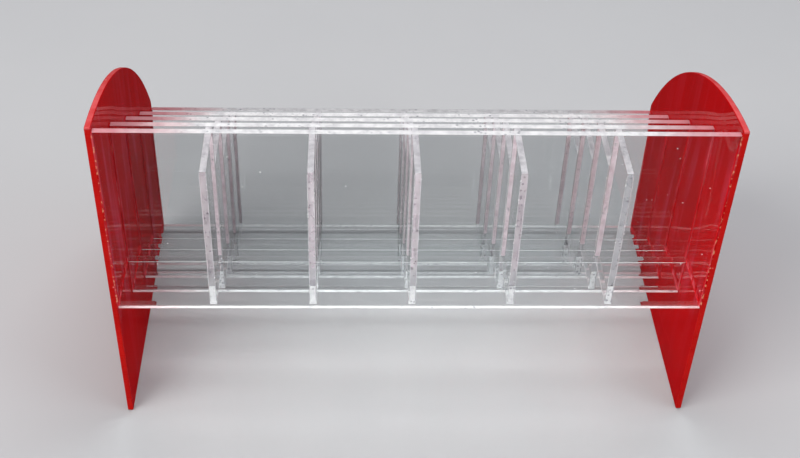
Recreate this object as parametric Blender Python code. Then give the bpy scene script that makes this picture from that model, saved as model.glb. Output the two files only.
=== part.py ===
"""Stepped chip rack: two red acrylic end panels carry four clear tiers of six cells, open at the top.

Metres, +Z up. The tall side of the rack faces -Y and the tiers step down towards +Y. The rack stands on
the flat bottom edges of its end panels at z = 0, centred on the origin. Every piece is cut from flat
sheet and solvent-cemented to its neighbours.
"""

import math

import bmesh
import bpy
from mathutils import Vector

# ---- sheet stock ----
CLEAR_SHEET = 0.0036
RED_SHEET = 0.0034
CEMENT_GAP = 0.0003
CLEAR_EDGE_BREAK = 0.00025
RED_EDGE_BREAK = 0.0005

# ---- the whole rack ----
INNER_WIDTH = 0.342
DEPTH = 0.1814
FRONT_HEIGHT = 0.2166
BACK_HEIGHT = 0.1087

# ---- the round top of an end panel: one arc struck from a point ahead of its front edge ----
ARC_CENTRE_AHEAD = 0.0090
ARC_STEPS = 40

# ---- tiers, counted from the tall side ----
TIERS = 4
TIER_PITCH = 0.0444
TIER_STEP = 0.0275
FIRST_WALL_TOP = 0.2140
FIRST_FLOOR_UNDERSIDE = 0.0880

# ---- cells ----
CELLS_PER_TIER = 6
DIVIDER_PITCH = 0.0578

# ---- sizes that follow from those above ----
SHEET_LENGTH = INNER_WIDTH - 2 * CEMENT_GAP
CELL_DEPTH = TIER_PITCH - CLEAR_SHEET - 2 * CEMENT_GAP
DIVIDER_HEIGHT = FIRST_WALL_TOP - TIER_STEP - FIRST_FLOOR_UNDERSIDE - CLEAR_SHEET - CEMENT_GAP


def clear_scene():
    for obj in list(bpy.data.objects):
        bpy.data.objects.remove(obj, do_unlink=True)


def acrylic(name, colour, roughness, transmission):
    material = bpy.data.materials.new(name)
    material.use_nodes = True
    shader = material.node_tree.nodes["Principled BSDF"]
    shader.inputs["Base Color"].default_value = colour
    shader.inputs["Roughness"].default_value = roughness
    shader.inputs["IOR"].default_value = 1.49
    shader.inputs["Transmission Weight"].default_value = transmission
    material.diffuse_color = colour
    return material


def finish_mesh(name, shape, material):
    mesh = bpy.data.meshes.new(name)
    shape.to_mesh(mesh)
    shape.free()
    mesh.materials.append(material)
    return mesh


def sheet_mesh(name, size, material):
    """A rectangle of clear sheet, centred on its own origin."""
    shape = bmesh.new()
    bmesh.ops.create_cube(shape, size=1.0)
    bmesh.ops.scale(shape, verts=shape.verts, vec=Vector(size))
    return finish_mesh(name, shape, material)


def place(name, mesh, location, edge_break, parent):
    obj = bpy.data.objects.new(name, mesh)
    bpy.context.scene.collection.objects.link(obj)
    obj.location = location
    obj.parent = parent
    bevel = obj.modifiers.new("edge_break", "BEVEL")
    bevel.width = edge_break
    bevel.segments = 1
    bevel.limit_method = "ANGLE"
    bevel.angle_limit = math.radians(40.0)
    return obj


def end_panel_outline():
    """Side outline as (y, z): flat bottom, upright front and back edges, and the arc that joins their tops.

    The arc is centred ARC_CENTRE_AHEAD in front of the front edge, at the height that makes it pass through
    the top of both upright edges.
    """
    front = -DEPTH / 2
    back = DEPTH / 2
    centre_y = front - ARC_CENTRE_AHEAD
    reach_front = ARC_CENTRE_AHEAD
    reach_back = ARC_CENTRE_AHEAD + DEPTH
    rise = FRONT_HEIGHT**2 - BACK_HEIGHT**2 + reach_front**2 - reach_back**2
    centre_z = rise / (2 * (FRONT_HEIGHT - BACK_HEIGHT))
    radius = math.hypot(reach_front, FRONT_HEIGHT - centre_z)
    start = math.atan2(BACK_HEIGHT - centre_z, reach_back)
    end = math.atan2(FRONT_HEIGHT - centre_z, reach_front)
    outline = [(front, 0.0), (back, 0.0)]
    for step in range(ARC_STEPS + 1):
        angle = start + (end - start) * step / ARC_STEPS
        outline.append((centre_y + radius * math.cos(angle), centre_z + radius * math.sin(angle)))
    return outline


def end_panel_mesh(material):
    """One red end panel, its thickness centred on x = 0 and its bottom edge at z = 0."""
    shape = bmesh.new()
    rim = [shape.verts.new((-RED_SHEET / 2, y, z)) for y, z in end_panel_outline()]
    face = shape.faces.new(rim)
    grown = bmesh.ops.extrude_face_region(shape, geom=[face])
    moved = [item for item in grown["geom"] if isinstance(item, bmesh.types.BMVert)]
    bmesh.ops.translate(shape, verts=moved, vec=(RED_SHEET, 0.0, 0.0))
    bmesh.ops.recalc_face_normals(shape, faces=shape.faces)
    return finish_mesh("end_panel", shape, material)


def wall_front(number):
    """y of the front face of long wall 1 to 5."""
    return -DEPTH / 2 + (number - 1) * TIER_PITCH


def wall_top(number):
    return FIRST_WALL_TOP - (number - 1) * TIER_STEP


def floor_underside(tier):
    """The floors step down by the same amount as the walls."""
    return FIRST_FLOOR_UNDERSIDE - (tier - 1) * TIER_STEP


def cell_middle(tier):
    """y halfway between the two walls of a tier."""
    return wall_front(tier) + CLEAR_SHEET + CEMENT_GAP + CELL_DEPTH / 2


def add_end_panels(material, parent):
    mesh = end_panel_mesh(material)
    offset = (INNER_WIDTH + RED_SHEET) / 2
    place("end_panel_left", mesh, (-offset, 0.0, 0.0), RED_EDGE_BREAK, parent)
    place("end_panel_right", mesh, (offset, 0.0, 0.0), RED_EDGE_BREAK, parent)


def add_walls(material, parent):
    """Long clear walls, one ahead of each tier and one behind the last. Each reaches down to its floor."""
    for number in range(1, TIERS + 2):
        bottom = floor_underside(min(number, TIERS))
        height = wall_top(number) - bottom
        mesh = sheet_mesh(f"tier_wall_{number}", (SHEET_LENGTH, CLEAR_SHEET, height), material)
        location = (0.0, wall_front(number) + CLEAR_SHEET / 2, bottom + height / 2)
        place(mesh.name, mesh, location, CLEAR_EDGE_BREAK, parent)


def add_floors(material, parent):
    mesh = sheet_mesh("tier_floor", (SHEET_LENGTH, CELL_DEPTH, CLEAR_SHEET), material)
    for tier in range(1, TIERS + 1):
        location = (0.0, cell_middle(tier), floor_underside(tier) + CLEAR_SHEET / 2)
        place(f"tier_floor_{tier}", mesh, location, CLEAR_EDGE_BREAK, parent)


def add_dividers(material, parent):
    """Dividers stand on the floor of their tier, and end level with the lower wall behind them."""
    mesh = sheet_mesh("divider", (CLEAR_SHEET, CELL_DEPTH, DIVIDER_HEIGHT), material)
    count = CELLS_PER_TIER - 1
    for tier in range(1, TIERS + 1):
        for column in range(1, count + 1):
            x = (column - (count + 1) / 2) * DIVIDER_PITCH
            z = wall_top(tier + 1) - DIVIDER_HEIGHT / 2
            location = (x, cell_middle(tier), z)
            place(f"divider_{tier}_{column}", mesh, location, CLEAR_EDGE_BREAK, parent)


def main():
    clear_scene()
    rack = bpy.data.objects.new("chip_rack", None)
    bpy.context.scene.collection.objects.link(rack)
    red = acrylic("red_acrylic", (0.55, 0.008, 0.012, 1.0), 0.05, 0.0)
    clear = acrylic("clear_acrylic", (0.93, 0.95, 0.95, 0.25), 0.04, 1.0)
    add_end_panels(red, rack)
    add_walls(clear, rack)
    add_floors(clear, rack)
    add_dividers(clear, rack)


main()
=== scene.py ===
import math
import random

import bmesh
import bpy
from mathutils import Matrix, Vector, noise


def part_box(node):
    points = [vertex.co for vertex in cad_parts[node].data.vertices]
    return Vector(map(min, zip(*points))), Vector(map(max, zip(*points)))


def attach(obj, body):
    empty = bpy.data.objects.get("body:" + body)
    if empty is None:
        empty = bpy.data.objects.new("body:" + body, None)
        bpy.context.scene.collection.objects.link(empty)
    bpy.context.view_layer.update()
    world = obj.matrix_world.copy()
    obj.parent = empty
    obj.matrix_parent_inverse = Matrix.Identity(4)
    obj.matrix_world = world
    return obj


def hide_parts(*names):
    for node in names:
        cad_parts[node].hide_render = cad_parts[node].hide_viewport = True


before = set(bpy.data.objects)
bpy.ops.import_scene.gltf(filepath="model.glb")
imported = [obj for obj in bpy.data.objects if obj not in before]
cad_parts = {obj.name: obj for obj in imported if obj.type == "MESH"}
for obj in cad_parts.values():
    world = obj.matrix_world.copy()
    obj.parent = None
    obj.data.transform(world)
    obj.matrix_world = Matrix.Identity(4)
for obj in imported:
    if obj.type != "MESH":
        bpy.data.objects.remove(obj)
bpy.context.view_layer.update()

ACRYLIC_IOR = 1.49
CEMENT_IOR = 1.46

# ---- the CAD's layout, tiers counted from the tall side; metres ----
TIERS = 4
WALLS = TIERS + 1
COLUMNS = 5
CEMENT_GAP = 0.0003  # between neighbouring sheets
ARC_CENTRE_AHEAD = 0.0090  # the round tops are struck from this far ahead of the front edges

# ---- the axes, and the two sides of a sheet along each ----
AXIS_X, AXIS_Y, AXIS_Z = range(3)
TO_X, TO_Y, TO_Z = Vector((1, 0, 0)), Vector((0, 1, 0)), Vector((0, 0, 1))
LOW, HIGH = -1, 1

# ---- refinements of the CAD sheets; metres ----
CLEAR_ARRIS = 0.00032
CLEAR_RIM = 0.00034  # points this near a sheet's outline belong to its cut edge
FACE_SKIN = 0.00005  # points this near a face lie on it
FOOT_HEIGHT = 0.0112  # of the white foot of a divider's front edge
RED_CORNER = 0.0012
RED_ARRIS = 0.0006
ARC_STEPS = 120

# ---- cement; metres ----
BEAD_STEP = 0.0016
BEAD_END_SHORT = 0.0004
BEAD_TOP_SHORT = 0.0005
RUN_AHEAD = 0.0023  # the run under a floor lies this far ahead of the next wall
PAD_STEP = 0.0012
PAD_CLEARANCE = 0.00002

# ---- what the stage and the world turn to in mirror reflections ----
MIRRORED_STAGE = (0.035, 0.035, 0.037)
WORLD_STRENGTH = 0.55
MIRRORED_WORLD_STRENGTH = 0.08

LIT_POINT = (0.0, 0.0, 0.1)

# ---------------------------------------------------------------- node helpers


class Graph:
    """A material's node tree with short calls for the nodes used here."""

    def __init__(self, name):
        self.material = bpy.data.materials.new(name)
        self.material.use_nodes = True
        self.nodes = self.material.node_tree.nodes
        self.links = self.material.node_tree.links
        self.shader = self.nodes["Principled BSDF"]
        self.coords = self.nodes.new("ShaderNodeTexCoord").outputs["Object"]

    def set(self, **values):
        for key, value in values.items():
            self.shader.inputs[key.replace("_", " ")].default_value = value

    def link(self, output, key):
        self.links.new(output, self.shader.inputs[key])

    def stretched(self, scale):
        """Object coordinates in metres, multiplied axis by axis."""
        node = self.nodes.new("ShaderNodeMapping")
        node.inputs["Scale"].default_value = scale
        self.links.new(self.coords, node.inputs["Vector"])
        return node.outputs["Vector"]

    def noise(self, scale, detail=3.0, roughness=0.5, distortion=0.0, stretch=None):
        node = self.nodes.new("ShaderNodeTexNoise")
        node.inputs["Scale"].default_value = scale
        node.inputs["Detail"].default_value = detail
        node.inputs["Roughness"].default_value = roughness
        node.inputs["Distortion"].default_value = distortion
        self.links.new(self.stretched(stretch) if stretch else self.coords, node.inputs["Vector"])
        return node.outputs["Fac"]

    def dots(self, scale):
        """Distance to scattered points, 0 at each point."""
        node = self.nodes.new("ShaderNodeTexVoronoi")
        node.inputs["Scale"].default_value = scale
        self.links.new(self.coords, node.inputs["Vector"])
        return node.outputs["Distance"]

    def ramp(self, value, low, high, out_low, out_high):
        """Maps low..high to out_low..out_high, held at both ends."""
        node = self.nodes.new("ShaderNodeMapRange")
        node.inputs["From Min"].default_value = low
        node.inputs["From Max"].default_value = high
        node.inputs["To Min"].default_value = out_low
        node.inputs["To Max"].default_value = out_high
        self.links.new(value, node.inputs["Value"])
        return node.outputs["Result"]

    def along(self, axis):
        """One object coordinate in metres, as X, Y or Z."""
        node = self.nodes.new("ShaderNodeSeparateXYZ")
        self.links.new(self.coords, node.inputs[0])
        return node.outputs[axis]

    def math(self, operation, a, b):
        node = self.nodes.new("ShaderNodeMath")
        node.operation = operation
        for socket, value in zip(node.inputs, (a, b)):
            if isinstance(value, (int, float)):
                socket.default_value = value
            else:
                self.links.new(value, socket)
        return node.outputs[0]

    def blend(self, factor, colour_a, colour_b):
        node = self.nodes.new("ShaderNodeMix")
        node.data_type = "RGBA"
        self.links.new(factor, node.inputs["Factor"])
        for socket, value in ((node.inputs[6], colour_a), (node.inputs[7], colour_b)):
            if isinstance(value, tuple):
                socket.default_value = (*value, 1.0)
            else:
                self.links.new(value, socket)
        return node.outputs[2]

    def pass_shadows(self, tint):
        """Lets lamps shine through the sheet, dimmed to tint, as thin clear sheet does."""
        clear = self.nodes.new("ShaderNodeBsdfTransparent")
        clear.inputs["Color"].default_value = (*tint, 1.0)
        path = self.nodes.new("ShaderNodeLightPath")
        mix = self.nodes.new("ShaderNodeMixShader")
        self.links.new(path.outputs["Is Shadow Ray"], mix.inputs["Fac"])
        self.links.new(self.shader.outputs["BSDF"], mix.inputs[1])
        self.links.new(clear.outputs["BSDF"], mix.inputs[2])
        self.links.new(mix.outputs["Shader"], self.nodes["Material Output"].inputs["Surface"])

    def bump(self, height, distance, strength, coat=False):
        """Raises the surface by height. The coat's reflection follows only where coat is set."""
        node = self.nodes.new("ShaderNodeBump")
        node.inputs["Distance"].default_value = distance
        node.inputs["Strength"].default_value = strength
        self.links.new(height, node.inputs["Height"])
        self.links.new(node.outputs["Normal"], self.shader.inputs["Normal"])
        if coat:
            self.links.new(node.outputs["Normal"], self.shader.inputs["Coat Normal"])


def mirrored(tree):
    """1 where the studio is seen by way of one or two reflections, else 0.

    Blender counts a glossy depth of 0 for what is seen straight, and COMPARE gives 1 for the depths 1 and 2,
    which lie within the margin of their middle.
    """
    middle, margin = 1.5, 0.9
    compare = tree.nodes.new("ShaderNodeMath")
    compare.operation = "COMPARE"
    compare.inputs[1].default_value = middle
    compare.inputs[2].default_value = margin
    tree.links.new(tree.nodes.new("ShaderNodeLightPath").outputs["Glossy Depth"], compare.inputs[0])
    return compare.outputs[0]


# ---------------------------------------------------------------- materials


def clear_face(name, ior, coat):
    """Polished face of clear sheet: fine rub marks and a slow waviness from casting.

    Floors and dividers take an ior below acrylic's, so that they don't gather dark bands from the pale stage,
    and a thin coat for the reflections that this loses them.
    """
    g = Graph(name)
    g.set(IOR=ior, Transmission_Weight=1.0, Coat_Weight=coat, Coat_IOR=ACRYLIC_IOR, Coat_Roughness=0.02)
    tint = g.ramp(g.noise(14.0, 2.0), 0.35, 0.65, 0.0, 1.0)
    g.link(g.blend(tint, (0.978, 0.985, 0.987), (0.988, 0.992, 0.993)), "Base Color")
    rub = g.noise(900.0, 2.0, stretch=(0.05, 1.0, 1.0))
    haze = g.noise(22.0, 4.0)
    rough = g.math("MULTIPLY", g.ramp(rub, 0.5, 0.75, 0.2, 1.0), g.ramp(haze, 0.35, 0.7, 0.01, 0.06))
    g.link(rough, "Roughness")
    g.bump(g.noise(7.0, 1.0), 0.0004, 0.12)
    g.pass_shadows((0.955, 0.965, 0.968))
    return g.material


def sawn_edge(name, colour_low, colour_high, transmission, marks, length_axis, painted_glow=0.0):
    """Free cut edge: milky, with scattered darker pits, and fine saw marks across it all along its length.

    marks sets how closely the pits lie. painted_glow is how much painted red light from the end panels goes
    into the edge's colour, growing from glow_start to glow_full out along X.
    """
    g = Graph(name)
    g.set(IOR=ACRYLIC_IOR, Transmission_Weight=transmission)
    cloud = g.noise(210.0, 4.0, 0.62)
    base = g.blend(g.ramp(cloud, 0.38, 0.62, 0.0, 1.0), colour_low, colour_high)
    pits = g.ramp(g.dots(marks), 0.14, 0.36, 1.0, 0.0)
    gate = g.ramp(g.noise(70.0, 2.0), 0.48, 0.60, 0.0, 1.0)
    pits = g.math("MULTIPLY", pits, gate)
    base = g.blend(pits, base, (0.30, 0.30, 0.33))
    # Painted light: a pink-red glow near the end panels, standing for red light from them seen in the edge.
    if painted_glow:
        glow_start, glow_full, unevenness = 0.119, 0.158, 0.006
        reach = g.math("ABSOLUTE", g.along("X"), 0.0)
        reach = g.math("ADD", reach, g.ramp(g.noise(60.0, 2.0), 0.3, 0.7, -unevenness, unevenness))
        base = g.blend(g.ramp(reach, glow_start, glow_full, 0.0, painted_glow), base, (0.60, 0.14, 0.175))
    g.link(base, "Base Color")
    saw = g.noise(1500.0, 2.0, stretch=[1.0 if axis == length_axis else 0.06 for axis in range(3)])
    g.link(g.ramp(saw, 0.3, 0.7, 0.34, 0.60), "Roughness")
    g.bump(saw, 0.0002, 0.5)
    return g.material


def wetted_edge():
    """Cut edge that solvent cement has cleared, with trapped bubbles left in it.

    Its ior is below acrylic's, because total internal reflection shows dark bars from behind.
    """
    g = Graph("wetted_edge")
    g.set(IOR=1.25, Transmission_Weight=0.72)
    bubbles = g.ramp(g.dots(400.0), 0.16, 0.36, 1.0, 0.0)
    patches = g.ramp(g.noise(60.0, 3.0), 0.38, 0.54, 0.0, 1.0)
    spots = g.math("MULTIPLY", bubbles, patches)
    tone = g.ramp(g.noise(85.0, 3.0), 0.4, 0.62, 0.0, 1.0)
    tone = g.blend(tone, (0.76, 0.73, 0.77), (0.92, 0.90, 0.92))
    g.link(g.blend(spots, tone, (0.30, 0.28, 0.32)), "Base Color")
    cloud = g.noise(130.0, 4.0)
    g.link(g.ramp(cloud, 0.38, 0.66, 0.02, 0.22), "Roughness")
    g.bump(g.noise(700.0, 3.0), 0.0002, 0.3)
    g.pass_shadows((0.85, 0.86, 0.87))
    return g.material


def painted_light_foot():
    """Foot of a divider's front edge: its white is painted light, the brightly lit bottom of the divider seen
    through the edge, with dark bubbles in it.
    """
    g = Graph("painted_light_foot")
    g.set(IOR=ACRYLIC_IOR, Transmission_Weight=0.08)
    cloud = g.noise(260.0, 4.0, 0.6)
    # Painted light: this white stands for the lit bottom of the divider as seen through its front edge.
    base = g.blend(g.ramp(cloud, 0.36, 0.60, 0.0, 1.0), (0.74, 0.74, 0.76), (0.93, 0.93, 0.94))
    bubbles = g.ramp(g.dots(360.0), 0.20, 0.36, 0.80, 0.0)
    bubbles = g.math("MULTIPLY", bubbles, g.ramp(g.noise(150.0, 1.0), 0.40, 0.50, 0.15, 1.0))
    g.link(g.blend(bubbles, base, (0.26, 0.26, 0.29)), "Base Color")
    g.link(g.ramp(g.noise(700.0, 2.0), 0.3, 0.7, 0.3, 0.6), "Roughness")
    g.bump(cloud, 0.0003, 0.5)
    return g.material


def reddened_end():
    """End of a clear sheet at a red panel: the red shows through, with soft pale streaks up the joint."""
    g = Graph("reddened_end")
    g.set(IOR=ACRYLIC_IOR, Specular_IOR_Level=0.0)
    streak = g.noise(260.0, 4.0, 0.6, stretch=(1.0, 1.0, 0.10))
    tone = g.blend(g.ramp(streak, 0.46, 0.68, 0.0, 0.70), (0.58, 0.0040, 0.0080), (0.72, 0.16, 0.20))
    specks = g.ramp(g.dots(500.0), 0.06, 0.16, 1.0, 0.0)
    specks = g.math("MULTIPLY", specks, g.ramp(g.noise(45.0, 2.0), 0.54, 0.62, 0.0, 0.8))
    g.link(g.blend(specks, tone, (0.80, 0.34, 0.28)), "Base Color")
    g.link(g.ramp(g.noise(500.0, 3.0), 0.3, 0.7, 0.25, 0.5), "Roughness")
    g.bump(g.noise(650.0, 3.0), 0.0003, 0.3)
    return g.material


def bonded_edge():
    """Cut edge that cement joins to its neighbour, so that it all but vanishes, save for a few pinholes."""
    g = Graph("bonded_edge")
    g.set(IOR=1.03, Transmission_Weight=0.97)
    holes = g.ramp(g.dots(340.0), 0.05, 0.12, 1.0, 0.0)
    holes = g.math("MULTIPLY", holes, g.ramp(g.noise(38.0, 2.0), 0.60, 0.68, 0.0, 0.7))
    g.link(g.blend(holes, (0.975, 0.98, 0.985), (0.66, 0.66, 0.69)), "Base Color")
    g.link(g.ramp(g.noise(120.0, 3.0), 0.45, 0.75, 0.0, 0.08), "Roughness")
    g.pass_shadows((0.95, 0.955, 0.96))
    return g.material


def cement(name, clearness):
    """Dried solvent cement: clouded, unevenly glossy and a little rough. clearness is how glassy it is."""
    g = Graph(name)
    g.set(IOR=CEMENT_IOR, Transmission_Weight=clearness)
    cloud = g.noise(240.0, 4.0)
    g.link(g.blend(g.ramp(cloud, 0.4, 0.65, 0.0, 1.0), (0.90, 0.91, 0.92), (0.97, 0.97, 0.98)), "Base Color")
    g.link(g.ramp(g.noise(500.0, 3.0), 0.3, 0.7, 0.05, 0.30), "Roughness")
    g.bump(g.noise(650.0, 3.0), 0.0003, 0.4)
    g.pass_shadows((0.88, 0.89, 0.90))
    return g.material


def reddened_cement(name, flecked):
    """Cement against a red panel: it has taken up some red, and is streaked up the joint with a paler red.

    flecked is how strongly pale orange flecks show in it.
    """
    g = Graph(name)
    g.set(IOR=CEMENT_IOR, Specular_IOR_Level=0.0)
    streak = g.noise(300.0, 4.0, 0.6, stretch=(1.0, 1.0, 0.14))
    tone = g.blend(g.ramp(streak, 0.46, 0.68, 0.0, 0.8), (0.42, 0.002, 0.004), (0.60, 0.10, 0.13))
    flecks = g.ramp(g.noise(420.0, 3.0), 0.53, 0.62, 0.0, flecked)
    g.link(g.blend(flecks, tone, (0.84, 0.42, 0.24)), "Base Color")
    g.link(g.ramp(g.noise(500.0, 3.0), 0.3, 0.7, 0.10, 0.35), "Roughness")
    g.bump(g.noise(650.0, 3.0), 0.0003, 0.4)
    g.pass_shadows((0.86, 0.45, 0.46))
    return g.material


def red_face():
    """Polished face of opaque red sheet: deep colour, waviness, hairline scratches and dust haze.

    The inner faces, between the tiers, also carry pale streaks of wiped cement, stronger on the left panel.
    """
    g = Graph("red_face")
    g.set(IOR=ACRYLIC_IOR, Specular_IOR_Level=0.0, Coat_Weight=0.62, Coat_Roughness=0.01)
    slow = g.noise(11.0, 3.0)
    base = g.blend(g.ramp(slow, 0.3, 0.7, 0.0, 1.0), (0.44, 0.0008, 0.0020), (0.52, 0.0014, 0.0030))
    scratch = g.noise(420.0, 2.0, 0.5, 0.4, stretch=(1.0, 0.035, 0.9))
    lines = g.ramp(scratch, 0.66, 0.74, 0.0, 0.35)
    wiped = g.ramp(g.noise(95.0, 3.0, 0.5, 0.5, stretch=(1.0, 1.0, 0.11)), 0.50, 0.68, 0.0, 1.0)
    tier_slope = 0.62  # how far the tiers step down for each metre back
    level = g.math("ADD", g.along("Z"), g.math("MULTIPLY", g.along("Y"), tier_slope))
    wiped = g.math("MULTIPLY", wiped, g.ramp(level, 0.140, 0.158, 0.50, 0.12))
    wiped = g.math("MULTIPLY", wiped, g.ramp(level, 0.020, 0.040, 0.15, 1.0))
    inner_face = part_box("end_panel_right")[0].x
    reach = g.math("ABSOLUTE", g.along("X"), 0.0)
    inward = g.ramp(reach, inner_face + 0.0008, inner_face + 0.0018, 1.0, 0.0)
    wiped = g.math("MULTIPLY", wiped, inward)
    left_strength, right_strength = 1.7, 0.9
    wiped = g.math("MULTIPLY", wiped, g.ramp(g.along("X"), -0.1, 0.1, left_strength, right_strength))
    base = g.blend(wiped, base, (0.60, 0.054, 0.095))
    g.link(g.blend(lines, base, (0.66, 0.016, 0.022)), "Base Color")
    haze = g.ramp(g.noise(30.0, 4.0), 0.35, 0.7, 0.03, 0.08)
    g.link(g.math("ADD", haze, g.math("MULTIPLY", lines, 0.25)), "Roughness")
    g.bump(g.noise(12.0, 0.0, distortion=0.6), 0.0026, 0.70, coat=True)
    return g.material


def red_edge():
    """Cut and scraped straight edge of red sheet: more orange than the face, with marks across it."""
    g = Graph("red_edge")
    g.set(IOR=ACRYLIC_IOR, Specular_IOR_Level=0.12)
    slow = g.noise(45.0, 3.0)
    base = g.blend(g.ramp(slow, 0.35, 0.65, 0.0, 1.0), (0.46, 0.003, 0.002), (0.56, 0.006, 0.004))
    nick = g.ramp(g.dots(260.0), 0.08, 0.22, 1.0, 0.0)
    nick = g.math("MULTIPLY", nick, g.ramp(g.noise(50.0, 2.0), 0.55, 0.66, 0.0, 0.7))
    g.link(g.blend(nick, base, (0.95, 0.30, 0.27)), "Base Color")
    scrape = g.noise(1300.0, 2.0, stretch=(0.04, 1.0, 1.0))
    g.link(g.ramp(scrape, 0.3, 0.7, 0.22, 0.42), "Roughness")
    g.bump(scrape, 0.00025, 0.5)
    return g.material


def red_arc_edge():
    """Sawn and sanded curved edge of red sheet: frosted to a paler, pinkish red, partly a painted sheen of
    the light from above.
    """
    g = Graph("red_arc_edge")
    g.set(IOR=ACRYLIC_IOR, Specular_IOR_Level=0.35)
    cloud = g.noise(110.0, 4.0, 0.6)
    # The pale pink is partly frosting and partly a painted highlight of the overhead light.
    base = g.blend(g.ramp(cloud, 0.34, 0.66, 0.0, 1.0), (0.50, 0.026, 0.027), (0.62, 0.090, 0.094))
    nick = g.ramp(g.dots(240.0), 0.08, 0.22, 1.0, 0.0)
    nick = g.math("MULTIPLY", nick, g.ramp(g.noise(50.0, 2.0), 0.55, 0.66, 0.0, 0.6))
    g.link(g.blend(nick, base, (0.90, 0.42, 0.40)), "Base Color")
    sanded = g.noise(1100.0, 3.0)
    g.link(g.ramp(sanded, 0.3, 0.7, 0.32, 0.52), "Roughness")
    g.bump(sanded, 0.0002, 0.4)
    return g.material


def dust():
    """Pale matt lint."""
    g = Graph("dust")
    g.link(g.blend(g.noise(900.0, 2.0), (0.86, 0.86, 0.88), (0.95, 0.95, 0.95)), "Base Color")
    g.link(g.ramp(g.noise(1200.0, 2.0), 0.3, 0.7, 0.5, 0.9), "Roughness")
    return g.material


def floor_finish():
    """Pale matt board. It is held back in mirror reflections, as a dark card out of view would do."""
    g = Graph("floor_finish")
    g.set(IOR=1.45, Specular_IOR_Level=0.15)
    pale = g.blend(g.noise(3.0, 4.0), (0.42, 0.42, 0.43), (0.45, 0.45, 0.455))
    g.link(g.blend(mirrored(g.material.node_tree), pale, MIRRORED_STAGE), "Base Color")
    g.link(g.ramp(g.noise(40.0, 3.0), 0.3, 0.7, 0.55, 0.7), "Roughness")
    return g.material


# ---------------------------------------------------------------- geometry helpers


def new_object(name, shape, materials):
    """Turns a bmesh into a named object in the scene."""
    mesh = bpy.data.meshes.new(name)
    shape.to_mesh(mesh)
    shape.free()
    for material in materials:
        mesh.materials.append(material)
    obj = bpy.data.objects.new(name, mesh)
    bpy.context.scene.collection.objects.link(obj)
    return obj


def slice_along(shape, axis, low, high, pitch):
    """Cuts the shape across an axis about every pitch, so that its long edges can waver."""
    count = max(1, round((high - low) / pitch))
    normal = Vector((0.0, 0.0, 0.0))
    normal[axis] = 1.0
    for step in range(1, count):
        point = Vector((0.0, 0.0, 0.0))
        point[axis] = low + (high - low) * step / count
        geometry = shape.verts[:] + shape.edges[:] + shape.faces[:]
        bmesh.ops.bisect_plane(shape, geom=geometry, plane_co=point, plane_no=normal)


def sheet_piece(name, node, thin_axis, long_axis, edges, face, wander, pitch, seed, foot=None):
    """A refined copy of a clear CAD sheet: rounded arrises, wavering cut edges, a material for each edge.

    edges maps (axis, side) to a material, for the four narrow sides. foot is the material of the lowest part
    of the edge that faces -Y. wander is the most that a cut edge draws back, and pitch how often it can turn.
    """
    low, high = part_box(node)
    centre = (low + high) / 2
    shape = bmesh.new()
    bmesh.ops.create_cube(shape, size=1.0)
    bmesh.ops.scale(shape, verts=shape.verts, vec=high - low)
    bmesh.ops.translate(shape, verts=shape.verts, vec=centre)
    bmesh.ops.bevel(
        shape,
        geom=shape.edges[:],
        offset=CLEAR_ARRIS,
        segments=2,
        profile=0.5,
        affect="EDGES",
        clamp_overlap=True,
    )
    slice_along(shape, long_axis, low[long_axis], high[long_axis], pitch)
    kinds = [face]
    for material in edges.values():
        if material not in kinds:
            kinds.append(material)
    if foot:
        kinds.append(foot)
    shape.normal_update()
    rim_axes = [axis for axis in range(3) if axis != thin_axis]
    for polygon in shape.faces:
        if abs(polygon.normal[thin_axis]) > 0.96:
            polygon.material_index = 0
            continue
        axis = max(rim_axes, key=lambda a: abs(polygon.normal[a]))
        side = HIGH if polygon.normal[axis] > 0 else LOW
        polygon.material_index = kinds.index(edges[(axis, side)])
        at_front = (axis, side) == (AXIS_Y, LOW)
        if foot and at_front and polygon.calc_center_median().z < low.z + FOOT_HEIGHT:
            polygon.material_index = kinds.index(foot)
    thin_low = low[thin_axis] + FACE_SKIN
    thin_high = high[thin_axis] - FACE_SKIN
    offset = Vector((seed * 3.7, seed * 1.9, seed * 5.3))
    for vert in shape.verts:
        if not thin_low < vert.co[thin_axis] < thin_high:
            continue
        for axis in rim_axes:
            reach = vert.co[axis] - centre[axis]
            if abs(reach) > (high[axis] - low[axis]) / 2 - CLEAR_RIM:
                pull = 0.5 + 0.5 * noise.noise(vert.co * 190.0 + offset)
                vert.co[axis] -= math.copysign(wander * pull, reach)
    obj = new_object(name, shape, kinds)
    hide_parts(node)
    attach(obj, "root")


def join_rings(shape, rings):
    """Walls between each ring of points and the next, and a cap at both ends."""
    size = len(rings[0])
    for first, second in zip(rings, rings[1:]):
        for index in range(size):
            after = (index + 1) % size
            shape.faces.new((first[index], first[after], second[after], second[index]))
    shape.faces.new(rings[0][::-1])
    shape.faces.new(rings[-1])


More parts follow.
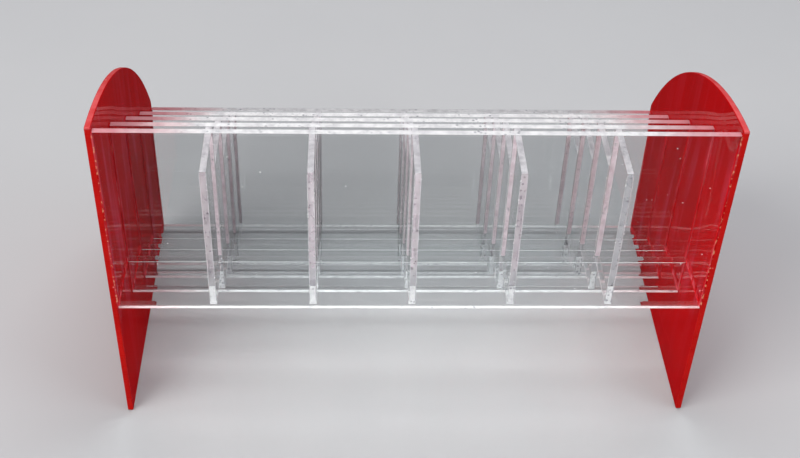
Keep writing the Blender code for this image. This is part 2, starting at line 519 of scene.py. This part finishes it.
def fillet_bead(shape, start, end, along_u, along_v, width, seed, gap=CEMENT_GAP, runs=0.0):
    """A line of dried cement in the corner between two sheets, from start to end.

    along_u and along_v point away from the corner over the two sheets. The bead's width wavers, and where
    runs is set it spreads into broader smears over the sheet that along_v follows. gap is the width of the
    joint behind it, and the bead's back reaches half of that into it.
    """
    sunk, lifted = 0.00002, 0.00003
    length = (end - start).length
    count = max(3, round(length / BEAD_STEP))
    rings = []
    offset = Vector((seed * 2.3, seed * 4.1, seed * 1.7))
    for step in range(count + 1):
        share = step / count
        middle = start.lerp(end, share)
        taper = min(1.0, 0.25 + 6.0 * min(share, 1.0 - share) * length / 0.01)
        near = noise.noise(middle * 260.0 + offset)
        far = noise.noise(middle * 55.0 + offset)
        u_width = width * taper * (1.0 + 0.35 * near + 0.25 * far)
        smear = max(0.0, far - 0.18) * 3.0
        v_width = width * taper * (1.0 + 0.4 * near) + runs * smear * taper
        corner = middle - (along_u + along_v) * (gap * 0.5)
        lesser = min(v_width, u_width)
        lift_u = along_v * lifted
        lift_v = along_u * lifted
        points = [
            corner,
            middle + along_u * u_width - along_v * sunk,
            middle + along_u * u_width * 0.55 + along_v * lesser * 0.16 + lift_u,
            middle + along_u * u_width * 0.27 + along_v * lesser * 0.38 + lift_u,
            middle + along_u * u_width * 0.13 + along_v * v_width * 0.62 + lift_v,
            middle + along_v * v_width - along_u * sunk,
        ]
        rings.append([shape.verts.new(point) for point in points])
    join_rings(shape, rings)


def bead_object(name, lines, material):
    """One object that holds a set of beads, each given as the arguments of fillet_bead."""
    shape = bmesh.new()
    for line in lines:
        fillet_bead(shape, *line)
    bmesh.ops.recalc_face_normals(shape, faces=shape.faces)
    for polygon in shape.faces:
        polygon.smooth = True
    obj = new_object(name, shape, [material])
    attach(obj, "root")


# ---------------------------------------------------------------- the end panels


def panel_outline(low, high, back_height):
    """Points (y, z) round an end panel: the ends of its flat bottom, then the round top from back to front.

    The arc is struck from a point ahead of the front edge, at the height that puts both edges' tops on it.
    """
    ahead = ARC_CENTRE_AHEAD
    depth = high.y - low.y
    drop = high.z - back_height
    rise = high.z**2 - back_height**2 + ahead**2 - (ahead + depth) ** 2
    centre_z = rise / (2 * drop)
    radius = math.hypot(ahead, high.z - centre_z)
    centre_y = low.y - ahead
    start = math.atan2(back_height - centre_z, ahead + depth)
    end = math.atan2(high.z - centre_z, ahead)
    outline = [(low.y, low.z), (high.y, low.z)]
    for step in range(ARC_STEPS + 1):
        angle = start + (end - start) * step / ARC_STEPS
        outline.append((centre_y + radius * math.cos(angle), centre_z + radius * math.sin(angle)))
    return outline


def end_panel_piece(name, node, materials):
    """A refined red end panel: the CAD outline with a smoother arc, eased corners and rounded arrises.

    materials are those of the faces, the straight edges and the round edge.
    """
    face_slot, edge_slot, arc_slot = range(3)
    low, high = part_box(node)
    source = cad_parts[node].data
    back_height = max(v.co.z for v in source.vertices if v.co.y > high.y - FACE_SKIN)
    outline = panel_outline(low, high, back_height)
    shape = bmesh.new()
    ring = [shape.verts.new((low.x, y, min(z, high.z))) for y, z in outline]
    corners = [ring[0], ring[1], ring[2], ring[-1]]
    base = shape.faces.new(ring)
    grown = bmesh.ops.extrude_face_region(shape, geom=[base])
    moved = [item for item in grown["geom"] if isinstance(item, bmesh.types.BMVert)]
    bmesh.ops.translate(shape, verts=moved, vec=(high.x - low.x, 0.0, 0.0))
    bmesh.ops.recalc_face_normals(shape, faces=shape.faces)
    places = [(v.co.y, v.co.z) for v in corners]
    same_place = 1e-6
    across = []
    for item in shape.edges:
        first, second = (v.co for v in item.verts)
        if abs(first.x - second.x) < same_place:
            continue
        if any(abs(first.y - y) < same_place and abs(first.z - z) < same_place for y, z in places):
            across.append(item)
    bmesh.ops.bevel(shape, geom=across, offset=RED_CORNER, segments=4, profile=0.5, affect="EDGES")
    rims = []
    for item in shape.edges:
        if len(item.link_faces) == 2 and item.calc_face_angle(0.0) > math.radians(60.0):
            rims.append(item)
    bmesh.ops.bevel(shape, geom=rims, offset=RED_ARRIS, segments=3, profile=0.5, affect="EDGES")
    shape.normal_update()
    for polygon in shape.faces:
        polygon.smooth = True
        on_arc = polygon.calc_center_median().z > back_height - 0.001 and polygon.normal.z > 0.02
        if abs(polygon.normal.x) > (0.6 if on_arc else 0.97):
            polygon.material_index = face_slot
        else:
            polygon.material_index = arc_slot if on_arc else edge_slot
    obj = new_object(name, shape, materials)
    weighted = obj.modifiers.new("weighted_normals", "WEIGHTED_NORMAL")
    weighted.keep_sharp = True
    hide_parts(node)
    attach(obj, "root")


# ---------------------------------------------------------------- the clear sheets


def build_walls(mats):
    for number in range(1, WALLS + 1):
        edges = {
            (AXIS_Z, HIGH): mats["free_low"] if number == WALLS else mats["free"],
            (AXIS_Z, LOW): mats["bottom"],
            (AXIS_X, HIGH): mats["reddened"],
            (AXIS_X, LOW): mats["reddened"],
        }
        name, node = f"wall_sheet_{number}", f"tier_wall_{number}"
        sheet_piece(name, node, AXIS_Y, AXIS_X, edges, mats["face"], wander=0.00008, pitch=0.004, seed=number)


def build_floor(tier, mats):
    edges = {
        (AXIS_Y, HIGH): mats["bonded"],
        (AXIS_Y, LOW): mats["bonded"],
        (AXIS_X, HIGH): mats["reddened"],
        (AXIS_X, LOW): mats["reddened"],
    }
    name, node, face = f"floor_sheet_{tier}", f"tier_floor_{tier}", mats["floor_face"]
    sheet_piece(name, node, AXIS_Z, AXIS_X, edges, face, wander=0.00005, pitch=0.006, seed=10 + tier)


def build_divider(tier, column, mats):
    edges = {
        (AXIS_Z, HIGH): mats["divider_top"],
        (AXIS_Z, LOW): mats["bonded"],
        (AXIS_Y, HIGH): mats["divider_back"],
        (AXIS_Y, LOW): mats["wetted"],
    }
    name, node, face = f"divider_sheet_{tier}_{column}", f"divider_{tier}_{column}", mats["divider_face"]
    seed = 20 + tier * 7 + column
    foot = mats["foot"]
    sheet_piece(name, node, AXIS_X, AXIS_Z, edges, face, wander=0.00010, pitch=0.003, seed=seed, foot=foot)


def build_sheets(mats):
    build_walls(mats)
    for tier in range(1, TIERS + 1):
        build_floor(tier, mats)
        for column in range(1, COLUMNS + 1):
            build_divider(tier, column, mats)


# ---------------------------------------------------------------- cement


def cement_pad(shape, low, high, seed):
    """A thin irregular pad of cement that fills part of a joint, from low to high."""
    offset = Vector((seed * 1.3, seed * 2.9, seed * 0.7))
    size = high - low
    long_axis = max(range(3), key=lambda axis: size[axis])
    thin_axis = min(range(3), key=lambda axis: size[axis])
    wide_axis = 3 - long_axis - thin_axis
    count = max(2, round(size[long_axis] / PAD_STEP))
    rings = []
    for step in range(count + 1):
        along = low[long_axis] + size[long_axis] * step / count
        ring = []
        for thin, wide in ((0, 0), (0, 1), (1, 1), (1, 0)):
            point = Vector((0.0, 0.0, 0.0))
            point[long_axis] = along
            point[thin_axis] = high[thin_axis] if thin else low[thin_axis]
            point[wide_axis] = high[wide_axis] if wide else low[wide_axis]
            pull = 0.10 + 0.10 * noise.noise(point * 420.0 + offset)
            point[wide_axis] += size[wide_axis] * (-pull if wide else pull)
            ring.append(shape.verts.new(point))
        rings.append(ring)
    join_rings(shape, rings)


def pad_object(name, pads, material):
    """One object that holds a set of pads, each given as the arguments of cement_pad."""
    shape = bmesh.new()
    for pad in pads:
        cement_pad(shape, *pad)
    bmesh.ops.recalc_face_normals(shape, faces=shape.faces)
    obj = new_object(name, shape, [material])
    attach(obj, "root")


def build_feet(material):
    """Cement in the joint ahead of each divider's foot, between the wall and the floor, in the foot's painted
    white.
    """
    overhang = 0.0002
    clearance = 0.00004
    above_underside = 0.0013
    up_the_divider = 0.0012
    pads = []
    for tier in range(1, TIERS + 1):
        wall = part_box(f"tier_wall_{tier}")[1].y
        floor_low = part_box(f"tier_floor_{tier}")[0]
        for column in range(1, COLUMNS + 1):
            low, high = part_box(f"divider_{tier}_{column}")
            near = Vector((low.x - overhang, wall + clearance, floor_low.z + above_underside))
            far = Vector((high.x + overhang, floor_low.y - clearance, low.z + up_the_divider))
            pads.append((near, far, tier * 31 + column))
    pad_object("cement_feet", pads, material)


def end_joint(node, label, panel_face):
    """The corners of the gap between one end of a clear sheet and a red panel."""
    low, high = (corner.copy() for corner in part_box(node))
    if label == "left":
        low.x, high.x = panel_face + PAD_CLEARANCE, low.x - PAD_CLEARANCE
    else:
        low.x, high.x = high.x + PAD_CLEARANCE, panel_face - PAD_CLEARANCE
    low.z += CEMENT_GAP
    high.z -= CEMENT_GAP
    return low, high


def build_groove(label, panel_face, outward, material):
    """Cement squeezed into the groove between the front of the tall wall and a red panel."""
    into_panel, over_wall = 0.0003, 0.0008
    behind_face, thickness_end = 0.00006, 0.00055
    above_bottom, below_top = 0.0006, 0.0010
    low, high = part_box("tier_wall_1")
    sides = sorted((panel_face + outward * into_panel, panel_face - outward * over_wall))
    near = Vector((sides[0], low.y + behind_face, low.z + above_bottom))
    far = Vector((sides[1], low.y + thickness_end, high.z - below_top))
    pad_object(f"cement_groove_{label}", [(near, far, 90 + len(label))], material)


def build_pads(foot, reddened, squeezed):
    """The cement inside the joints: at the dividers' feet, and between the clear sheets and red panels."""
    build_feet(foot)
    names = [f"tier_wall_{number}" for number in range(1, WALLS + 1)]
    names += [f"tier_floor_{tier}" for tier in range(1, TIERS + 1)]
    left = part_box("end_panel_left")[1].x
    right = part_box("end_panel_right")[0].x
    for label, panel_face, outward in (("left", left, -1.0), ("right", right, 1.0)):
        pads = []
        for seed, node in enumerate(names):
            low, high = end_joint(node, label, panel_face)
            pads.append((low, high, seed * 7 + len(label)))
        pad_object(f"cement_joint_{label}", pads, reddened)
        build_groove(label, panel_face, outward, squeezed)


def tier_beads(tier, front, back, floor_top):
    """The beads along both sides of each divider in a tier: up the two walls and over the floor."""
    upright_width, floor_width, floor_short = 0.00026, 0.00024, 0.0006
    lines = []
    for column in range(1, COLUMNS + 1):
        low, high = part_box(f"divider_{tier}_{column}")
        for side, x in ((LOW, low.x), (HIGH, high.x)):
            seed = tier * 90 + column * 5 + side
            away = TO_X * side
            bottom = Vector((x, 0, floor_top + BEAD_END_SHORT))
            upper = Vector((x, 0, high.z - BEAD_TOP_SHORT))
            ahead, behind = Vector((0, front, 0)), Vector((0, back, 0))
            lines.append((bottom + ahead, upper + ahead, TO_Y, away, upright_width, seed))
            lines.append((bottom + behind, upper + behind, -TO_Y, away, upright_width, seed + 3))
            near = Vector((x, front + floor_short, floor_top))
            far = Vector((x, back - floor_short, floor_top))
            lines.append((near, far, away, TO_Z, floor_width, seed + 7))
    return lines


def end_beads(label, x, away):
    """The beads up the walls' and along the floors' ends, at the face of one red panel.

    The rack's own front and back faces carry none, so that nothing stands proud of the CAD.
    """
    wall_width, wall_runs, floor_width = 0.00030, 0.0005, 0.00025
    lines = []
    for number in range(1, WALLS + 1):
        low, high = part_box(f"tier_wall_{number}")
        for side, y in ((LOW, low.y), (HIGH, high.y)):
            if (number, side) in ((1, LOW), (WALLS, HIGH)):
                continue
            bottom = Vector((x, y, low.z + BEAD_END_SHORT))
            upper = Vector((x, y, high.z - BEAD_TOP_SHORT))
            seed = number * 11 + side + (50 if label == "left" else 0)
            lines.append((bottom, upper, TO_Y * side, away, wall_width, seed, CEMENT_GAP, wall_runs))
    for tier in range(1, TIERS + 1):
        low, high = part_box(f"tier_floor_{tier}")
        for side, z in ((LOW, low.z), (HIGH, high.z)):
            start = Vector((x, low.y + BEAD_END_SHORT, z))
            end = Vector((x, high.y - BEAD_END_SHORT, z))
            lines.append((start, end, away, TO_Z * side, floor_width, tier * 17 + side))
    return lines


def build_cement(clear, milky, reddened):
    """A milky run under each floor, clear beads along the dividers, and reddened ones at the end panels."""
    run_width, no_gap = 0.00048, 0.0
    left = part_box("end_panel_left")[1].x
    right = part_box("end_panel_right")[0].x
    for tier in range(1, TIERS + 1):
        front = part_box(f"tier_wall_{tier}")[1].y
        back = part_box(f"tier_wall_{tier + 1}")[0].y
        floor_low, floor_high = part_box(f"tier_floor_{tier}")
        start = Vector((left + BEAD_END_SHORT, back - RUN_AHEAD, floor_low.z))
        end = Vector((right - BEAD_END_SHORT, back - RUN_AHEAD, floor_low.z))
        bead_object(f"cement_run_{tier}", [(start, end, -TO_Y, -TO_Z, run_width, tier * 13, no_gap)], milky)
        bead_object(f"cement_tier_{tier}", tier_beads(tier, front, back, floor_high.z), clear)
    for label, x, away in (("left", left, TO_X), ("right", right, -TO_X)):
        bead_object(f"cement_end_{label}", end_beads(label, x, away), reddened)


# ---------------------------------------------------------------- dust


def build_dust(material):
    """A few lint and dust specks on the inner face of the tall wall."""
    specks, smallest, largest = 46, 0.00012, 0.00042
    side_margin, end_margin = 0.004, 0.006
    rng = random.Random(41)
    shape = bmesh.new()
    low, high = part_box("tier_wall_1")
    for _ in range(specks):
        size = rng.uniform(smallest, largest)
        x = rng.uniform(low.x + side_margin, high.x - side_margin)
        z = rng.uniform(low.z + end_margin, high.z - end_margin)
        spot = Vector((x, high.y + size * 0.2, z))
        made = bmesh.ops.create_icosphere(shape, subdivisions=1, radius=size)
        squash = Matrix.Diagonal((rng.uniform(0.7, 1.6), 0.35, rng.uniform(0.7, 1.3), 1.0))
        turn = Matrix.Rotation(rng.uniform(0.0, math.pi), 4, "Y")
        bmesh.ops.transform(shape, verts=made["verts"], matrix=Matrix.Translation(spot) @ turn @ squash)
    obj = new_object("dust_specks", shape, [material])
    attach(obj, "root")


# ---------------------------------------------------------------- stage, lights, camera


def build_stage():
    """A round pale floor, a hair below the rack's feet."""
    hair = 0.0002
    shape = bmesh.new()
    bmesh.ops.create_circle(shape, cap_ends=True, radius=6.0, segments=64)
    floor = new_object("floor", shape, [floor_finish()])
    floor.location.z = -hair


def add_area(name, location, size, power, colour):
    """A rectangular lamp aimed at the rack."""
    light = bpy.data.lights.new(name, "AREA")
    light.shape = "RECTANGLE"
    light.size, light.size_y = size
    light.energy = power
    light.color = colour
    obj = bpy.data.objects.new(name, light)
    bpy.context.scene.collection.objects.link(obj)
    obj.location = location
    obj.rotation_euler = (Vector(LIT_POINT) - Vector(location)).to_track_quat("-Z", "Y").to_euler()


def build_lights():
    """A soft grey-blue world, dimmed in mirror reflections, and three lamps."""
    scene = bpy.context.scene
    world = bpy.data.worlds.new("studio")
    scene.world = world
    world.use_nodes = True
    background = world.node_tree.nodes["Background"]
    background.inputs["Color"].default_value = (0.93, 0.95, 1.0, 1.0)
    dimmer = world.node_tree.nodes.new("ShaderNodeMapRange")
    dimmer.inputs["To Min"].default_value = WORLD_STRENGTH
    dimmer.inputs["To Max"].default_value = MIRRORED_WORLD_STRENGTH
    world.node_tree.links.new(mirrored(world.node_tree), dimmer.inputs["Value"])
    world.node_tree.links.new(dimmer.outputs["Result"], background.inputs["Strength"])
    add_area("key", (-1.1, -0.9, 1.5), (1.2, 0.9), 26.0, (1.0, 0.985, 0.96))
    add_area("fill", (1.4, -0.7, 0.9), (1.0, 1.0), 8.0, (0.93, 0.96, 1.0))
    add_area("top", (0.1, 0.55, 1.9), (1.3, 0.6), 16.0, (1.0, 1.0, 1.0))
    scene.view_settings.view_transform = "Standard"
    scene.view_settings.look = "None"
    scene.cycles.max_bounces = 40
    scene.cycles.transmission_bounces = 36
    scene.cycles.glossy_bounces = 10
    scene.cycles.diffuse_bounces = 5
    scene.cycles.transparent_max_bounces = 24


def build_camera():
    """Looks down at 40 degrees from the tall side, a little from the left, with a slightly tilted horizon."""
    heading, elevation, roll = math.radians(3.17), math.radians(40.13), math.radians(2.21)
    distance = 0.8105
    aim = Vector((-0.0047, -0.0175, 0.0872))
    level = math.cos(elevation)
    forward = Vector((level * math.sin(heading), level * math.cos(heading), -math.sin(elevation)))
    data = bpy.data.cameras.new("camera")
    data.sensor_width = 36.0
    data.lens = 57.9
    data.clip_start = 0.01
    data.clip_end = 50.0
    camera = bpy.data.objects.new("camera", data)
    bpy.context.scene.collection.objects.link(camera)
    turn = forward.to_track_quat("-Z", "Y").to_matrix().to_4x4()
    camera.matrix_world = Matrix.Translation(aim - forward * distance) @ turn @ Matrix.Rotation(roll, 4, "Z")
    bpy.context.scene.camera = camera


# ---------------------------------------------------------------- build

# How strongly the painted red glow from the end panels shows on the long tops and on the undersides.
LONG_PAINTED_GLOW = 0.80
UNDER_PAINTED_GLOW = 0.45
DIVIDER_IOR = 1.01
FLOOR_IOR = 1.07

clear_materials = {
    "face": clear_face("clear_face", ACRYLIC_IOR, 0.0),
    "floor_face": clear_face("clear_floor_face", FLOOR_IOR, 0.15),
    "divider_face": clear_face("clear_divider_face", DIVIDER_IOR, 0.04),
    "free": sawn_edge(
        "sawn_edge_long", (0.64, 0.63, 0.65), (0.86, 0.85, 0.86), 0.22, 330.0, AXIS_X, LONG_PAINTED_GLOW
    ),
    "free_low": sawn_edge(
        "sawn_edge_low", (0.52, 0.51, 0.53), (0.74, 0.73, 0.75), 0.42, 330.0, AXIS_X, LONG_PAINTED_GLOW
    ),
    "bottom": sawn_edge(
        "sawn_edge_under", (0.64, 0.64, 0.65), (0.84, 0.84, 0.85), 0.18, 300.0, AXIS_X, UNDER_PAINTED_GLOW
    ),
    "divider_top": sawn_edge(
        "sawn_edge_divider", (0.46, 0.45, 0.48), (0.70, 0.69, 0.71), 0.35, 360.0, AXIS_Y
    ),
    # The rear edges are frosted, and their pale tone is also lifted as painted light, since lamps reach them
    # only indirectly.
    "divider_back": sawn_edge(
        "sawn_edge_rear", (0.70, 0.58, 0.63), (0.90, 0.79, 0.84), 0.15, 380.0, AXIS_Z
    ),
    "foot": painted_light_foot(),
    "wetted": wetted_edge(),
    "bonded": bonded_edge(),
    "reddened": reddened_end(),
}
red_materials = [red_face(), red_edge(), red_arc_edge()]
for panel_side in ("left", "right"):
    end_panel_piece(f"end_sheet_{panel_side}", f"end_panel_{panel_side}", red_materials)
build_sheets(clear_materials)
build_cement(cement("cement", 0.66), cement("cement_milky", 0.20), reddened_cement("reddened_cement", 0.12))
build_pads(clear_materials["foot"], clear_materials["reddened"], reddened_cement("flecked_cement", 0.70))
build_dust(dust())
build_stage()
build_lights()
build_camera()
